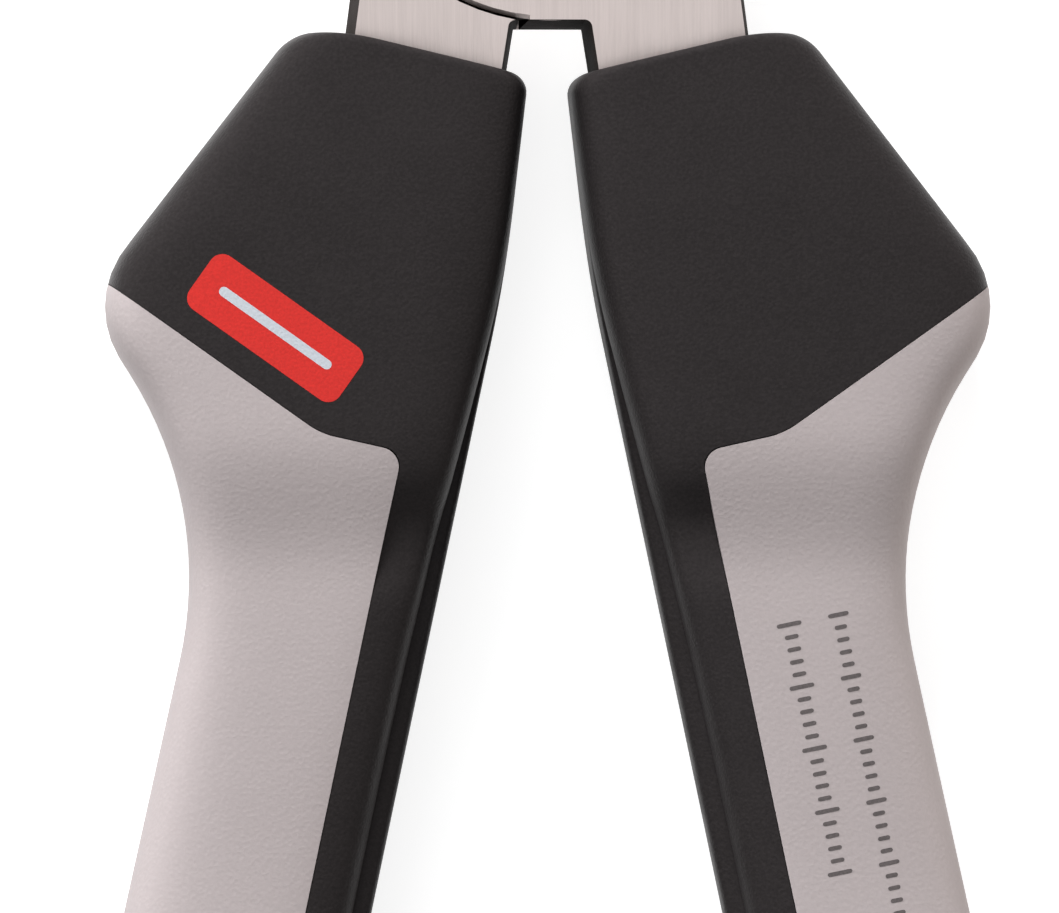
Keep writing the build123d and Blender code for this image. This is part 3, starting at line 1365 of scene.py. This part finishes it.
@dataclass(frozen=True)
class Lamp:
    """A soft lamp, aimed at the tool, with its strength as a share of the plain level."""

    name: str
    place_m: tuple[float, float, float]
    size: float
    share: float
    colour: Colour = (1.0, 1.0, 1.0)
    least_slope: float = 0.2

    def build(self, target: Vector) -> None:
        """Hangs the lamp.

        Args:
            target: The point that it aims at.
        """
        lamp = bpy.data.lights.new(self.name, "AREA")
        lamp.shape = "DISK"
        lamp.size = self.size
        lamp.color = self.colour
        where = Vector(self.place_m)
        away = where - target
        slope = max(self.least_slope, away.normalized().z)
        lamp.energy = math.pi**2 * self.share * away.length_squared / slope
        holder = bpy.data.objects.new(self.name, lamp)
        holder.location = where
        holder.rotation_mode = "QUATERNION"
        holder.rotation_quaternion = away.to_track_quat("Z", "Y")
        holder.visible_glossy = False
        holder.visible_camera = False
        bpy.context.scene.collection.objects.link(holder)


@dataclass(frozen=True)
class Studio:
    """A plain pale floor, soft lamps and the camera above the tool."""

    view_x: float = -1.25
    view_y: float = 10.32
    view_width: float = 75.64
    view_tilt: float = 2.5
    distance: float = 0.9
    sensor: float = 36.0
    floor_size: float = 3.0
    floor_facets: int = 6
    floor_grain: float = 400.0
    floor_mottle: float = 0.03
    floor_roughness: float = 0.9
    floor_diffuse: float = 0.5
    floor_glow: float = 0.85
    ambient: float = 0.10
    lamps: tuple[Lamp, ...] = (
        Lamp("top_lamp", (-0.16, 0.60, 0.34), size=0.40, share=0.60),
        Lamp("overhead_lamp", (-0.10, 0.05, 0.90), size=0.40, share=0.15),
        Lamp("left_lamp", (-0.60, 0.10, 0.14), size=0.24, share=0.09),
        Lamp("right_lamp", (0.60, 0.02, 0.08), size=0.14, share=0.06, colour=(1.0, 0.93, 0.86)),
    )

    def build(self) -> None:
        """Sets up floor, world, lamps and camera."""
        self.floor()
        self.world()
        target = Vector((self.view_x * MM, self.view_y * MM, PIVOT.z))
        for lamp in self.lamps:
            lamp.build(target)
        self.camera(target)
        bpy.context.scene.view_settings.view_transform = "Standard"

    def seen_rays(self, nodes: Nodes) -> bpy.types.NodeSocket:
        """Tells the rays that show the background from those that light the tool.

        Args:
            nodes: The node builder of the floor's material or the world.

        Returns:
            A socket with 1 for the first and 0 for the others.
        """
        rays = nodes.add("LightPath").outputs
        seen = nodes.math("MAXIMUM", rays["Is Camera Ray"], rays["Is Glossy Ray"])
        return nodes.math("MAXIMUM", seen, rays["Is Transmission Ray"])

    def floor(self) -> None:
        """Lays the floor under the tool, in the plane that it rests on."""
        mesh = Mesh()
        count, pitch = self.floor_facets, self.floor_size / self.floor_facets
        corner = Vector((-self.floor_size, -self.floor_size, 0)) / 2
        mesh.add_grid(count, count, lambda column, row: corner + Vector((column, row, 0)) * pitch)
        floor = mesh.finish("floor")
        material, nodes, surface = start_material("floor_paper")
        here = nodes.add("TexCoord").outputs["Object"]
        paper = nodes.feed(nodes.add("TexNoise"), Vector=here, Scale=self.floor_grain)
        soft = (self.floor_diffuse,) * 3
        dark, light = shaded(soft, 1 - self.floor_mottle), shaded(soft, 1 + self.floor_mottle)
        glow = nodes.math("MULTIPLY", self.seen_rays(nodes), self.floor_glow)
        nodes.feed(surface, Base_Color=nodes.mix(paper.outputs[0], dark, light), Emission_Strength=glow)
        nodes.feed(surface, Roughness=self.floor_roughness, Specular_IOR_Level=0.0)
        surface.inputs["Emission Color"].default_value = (1, 1, 1, 1)
        floor.data.materials.append(material)

    def world(self) -> None:
        """White where it is seen, and a weak even light elsewhere."""
        world = bpy.data.worlds.new("studio_world")
        world.use_nodes = True
        nodes = Nodes(world.node_tree)
        level = nodes.ramp(self.seen_rays(nodes), 0, 1, self.ambient, 1.0)
        nodes.feed(world.node_tree.nodes["Background"], Color=(1, 1, 1, 1), Strength=level)
        bpy.context.scene.world = world

    def camera(self, target: Vector) -> None:
        """Hangs the camera over the tool.

        Args:
            target: The point in the middle of the picture.
        """
        data = bpy.data.cameras.new("camera")
        data.type = "PERSP"
        data.sensor_width = self.sensor
        data.lens = self.sensor * self.distance / (self.view_width * MM)
        data.clip_start, data.clip_end = 0.01, 10.0
        turn = math.radians(self.view_tilt)
        away = Vector((-math.sin(turn), 0, math.cos(turn))) * self.distance
        camera = bpy.data.objects.new("camera", data)
        camera.location = target + away
        camera.rotation_euler = (0, -turn, 0)
        bpy.context.scene.collection.objects.link(camera)
        bpy.context.scene.camera = camera


def main() -> None:
    """Builds every piece, the stage and the camera, and reports them."""
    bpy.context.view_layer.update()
    shape = GripShape()
    Levers().build()
    Grips(shape).build()
    Prints(shape).build()
    Studio().build()


if __name__ == "__main__":
    logging.basicConfig(level=logging.INFO, format="%(message)s")
    main()
